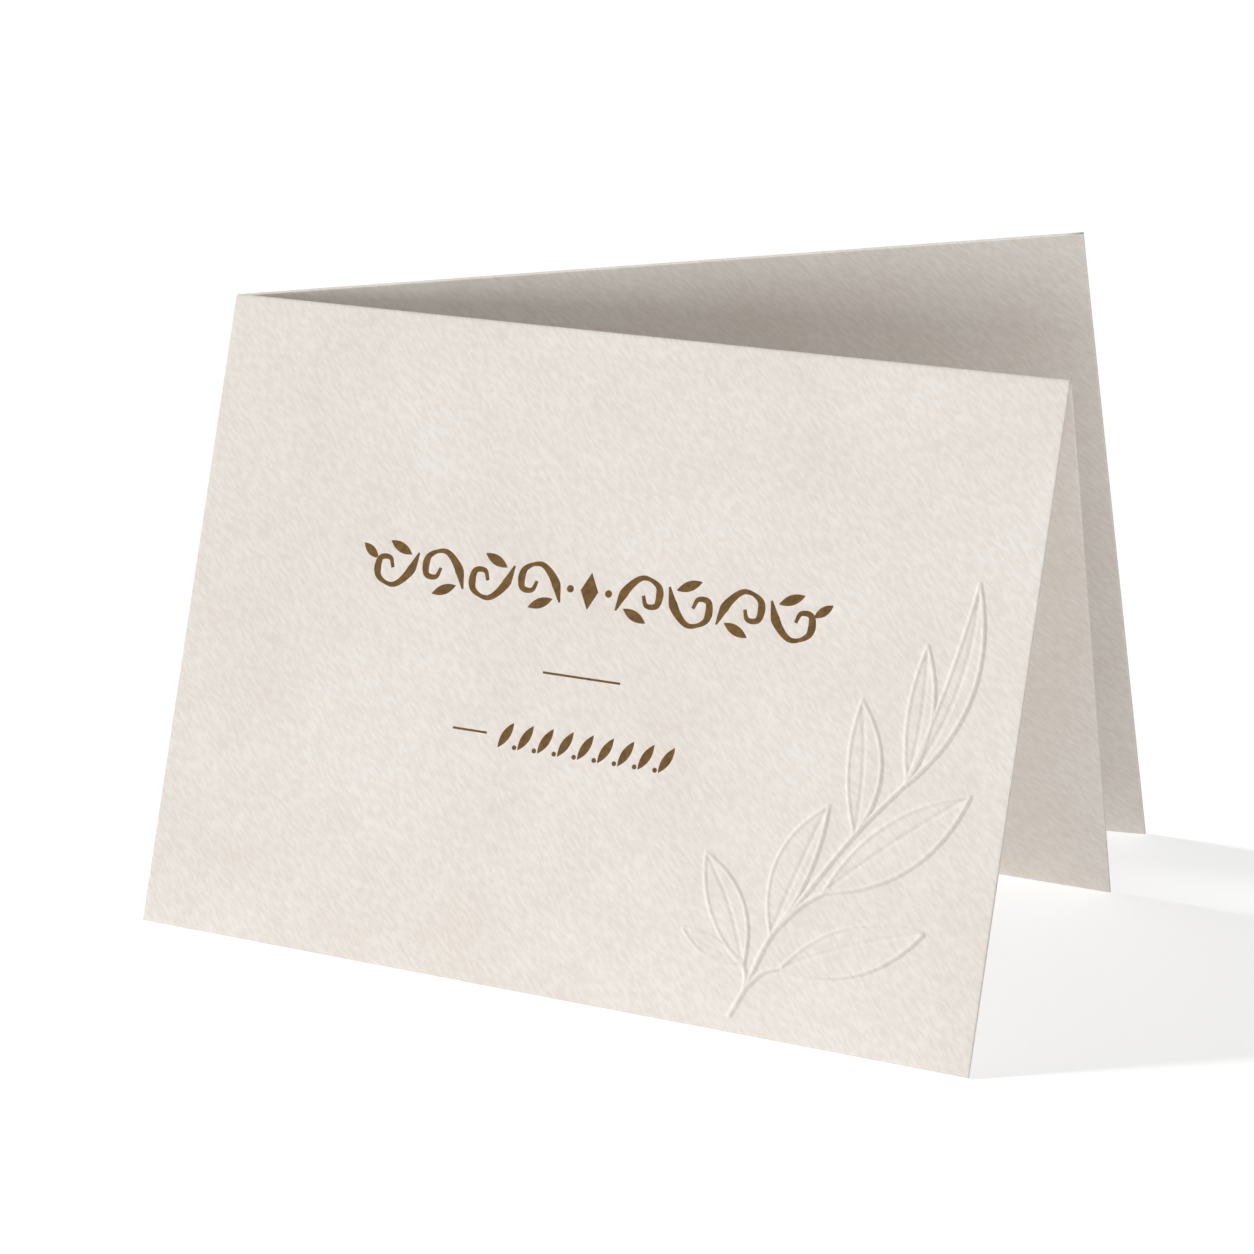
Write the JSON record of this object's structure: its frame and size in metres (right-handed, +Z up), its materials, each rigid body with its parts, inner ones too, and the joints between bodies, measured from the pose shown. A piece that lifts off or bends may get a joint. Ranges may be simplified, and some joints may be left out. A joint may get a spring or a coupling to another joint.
{
  "type": "greeting card",
  "caption": "Folded greeting card of heavy cotton paper standing as a tent, with a third leaf opening behind and a raised leafy sprig on the front.",
  "frame": {"origin": "centre of the card's box at table level", "axes": "+X along the top fold, to the right of the front panel; the front panel faces -Y; +Z up"},
  "size_m": [0.1778, 0.1298, 0.1442],
  "materials": {
    "paper": "matt felt-marked cotton paper, warm off-white, with bronze letterpress ornament"
  },
  "bodies": {
    "root": {"card": "paper"}
  },
  "joints": []
}
